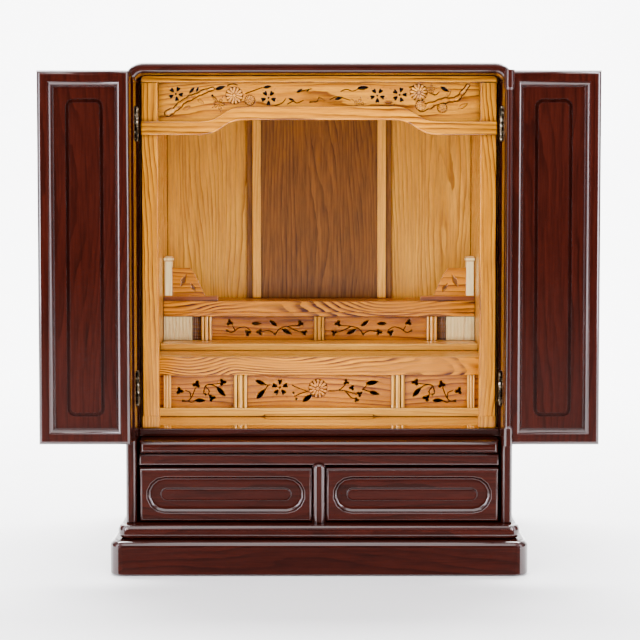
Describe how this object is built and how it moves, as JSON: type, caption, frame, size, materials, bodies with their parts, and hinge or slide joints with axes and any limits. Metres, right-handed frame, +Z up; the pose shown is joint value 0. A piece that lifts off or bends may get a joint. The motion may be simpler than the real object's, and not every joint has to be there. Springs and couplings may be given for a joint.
{
  "type": "household altar cabinet",
  "caption": "Tabletop altar cabinet of dark wood with folding doors, drawers, a pull-out board and a tiered golden interior with carved panels.",
  "frame": {"origin": "on the underside, at the middle of the plinth", "axes": "+Z up, +X to the right of someone facing the open doors, +Y towards the back; the doors are on the -Y side"},
  "size_m": [0.5856, 0.3603, 0.5434],
  "materials": {
    "rosewood": "dark red-brown, polished lacquer",
    "gold_wood": "golden, strongly grained, varnished",
    "brown_wood": "brown, grained, varnished",
    "pale_wood": "pale, satin",
    "hinge_brass": "dulled"
  },
  "bodies": {
    "case": {"plinth_lower": "rosewood", "plinth_upper": "rosewood", "case_side_left": "rosewood", "case_side_right": "rosewood", "case_top": "rosewood", "case_back": "rosewood", "front_rail": "rosewood", "drawer_divider": "rosewood", "sill": "rosewood", "inner_floor": "gold_wood", "ceiling": "gold_wood", "lining_left": "gold_wood", "lining_right": "gold_wood", "back_lining": "gold_wood", "centre_board": "brown_wood", "pilaster_left": "gold_wood", "pilaster_right": "gold_wood", "front_post_left": "gold_wood", "front_post_right": "gold_wood", "top_strip": "gold_wood", "transom": "gold_wood", "arched_beam": "gold_wood", "apron": "gold_wood", "lower_step": "gold_wood", "bottom_rail": "gold_wood", "lower_column_1": "gold_wood", "lower_column_2": "gold_wood", "lower_column_3": "gold_wood", "lower_column_4": "gold_wood", "lower_panel_left": "gold_wood", "lower_panel_centre": "gold_wood", "lower_panel_right": "gold_wood", "upper_step": "gold_wood", "upper_column_1": "gold_wood", "upper_column_2": "gold_wood", "upper_column_3": "gold_wood", "upper_panel_left": "gold_wood", "upper_panel_right": "gold_wood", "ribbed_block_left": "pale_wood", "ribbed_block_right": "pale_wood", "top_tier": "gold_wood", "railing_left": "gold_wood", "railing_right": "gold_wood"},
    "left_leaf_a": {"leaf_left_a": "rosewood", "hinge_left_post_1": "hinge_brass", "hinge_left_post_2": "hinge_brass", "hinge_left_fold_1": "hinge_brass", "hinge_left_fold_2": "hinge_brass"},
    "left_leaf_b": {"leaf_left_b": "rosewood"},
    "right_leaf_a": {"leaf_right_a": "rosewood", "hinge_right_post_1": "hinge_brass", "hinge_right_post_2": "hinge_brass", "hinge_right_fold_1": "hinge_brass", "hinge_right_fold_2": "hinge_brass"},
    "right_leaf_b": {"leaf_right_b": "rosewood", "astragal": "rosewood"},
    "left_drawer": {"drawer_left": "rosewood"},
    "right_drawer": {"drawer_right": "rosewood"},
    "pull_out_board": {"pull_out_board": "rosewood"}
  },
  "joints": [
    {"name": "left_door", "type": "hinge", "parent": "case", "child": "left_leaf_a", "pos_m": [-0.19305, -0.14325, 0.339], "axis": [0, 0, 1], "range_deg": [0, 180]},
    {"name": "left_fold", "type": "hinge", "parent": "left_leaf_a", "child": "left_leaf_b", "pos_m": [-0.29035, -0.16775, 0.339], "axis": [0, 0, 1], "range_deg": [-180, 0]},
    {"name": "right_door", "type": "hinge", "parent": "case", "child": "right_leaf_a", "pos_m": [0.19305, -0.14325, 0.339], "axis": [0, 0, -1], "range_deg": [0, 180]},
    {"name": "right_fold", "type": "hinge", "parent": "right_leaf_a", "child": "right_leaf_b", "pos_m": [0.29035, -0.16775, 0.339], "axis": [0, 0, -1], "range_deg": [-180, 0]},
    {"name": "left_drawer_slide", "type": "slide", "parent": "case", "child": "left_drawer", "axis": [0, -1, 0], "range_m": [0, 0.16]},
    {"name": "right_drawer_slide", "type": "slide", "parent": "case", "child": "right_drawer", "axis": [0, -1, 0], "range_m": [0, 0.16]},
    {"name": "board_slide", "type": "slide", "parent": "case", "child": "pull_out_board", "axis": [0, -1, 0], "range_m": [0, 0.15]}
  ],
  "couplings": [
    {"joint": "left_fold", "follows": "left_door", "ratio": -1},
    {"joint": "right_fold", "follows": "right_door", "ratio": -1}
  ]
}
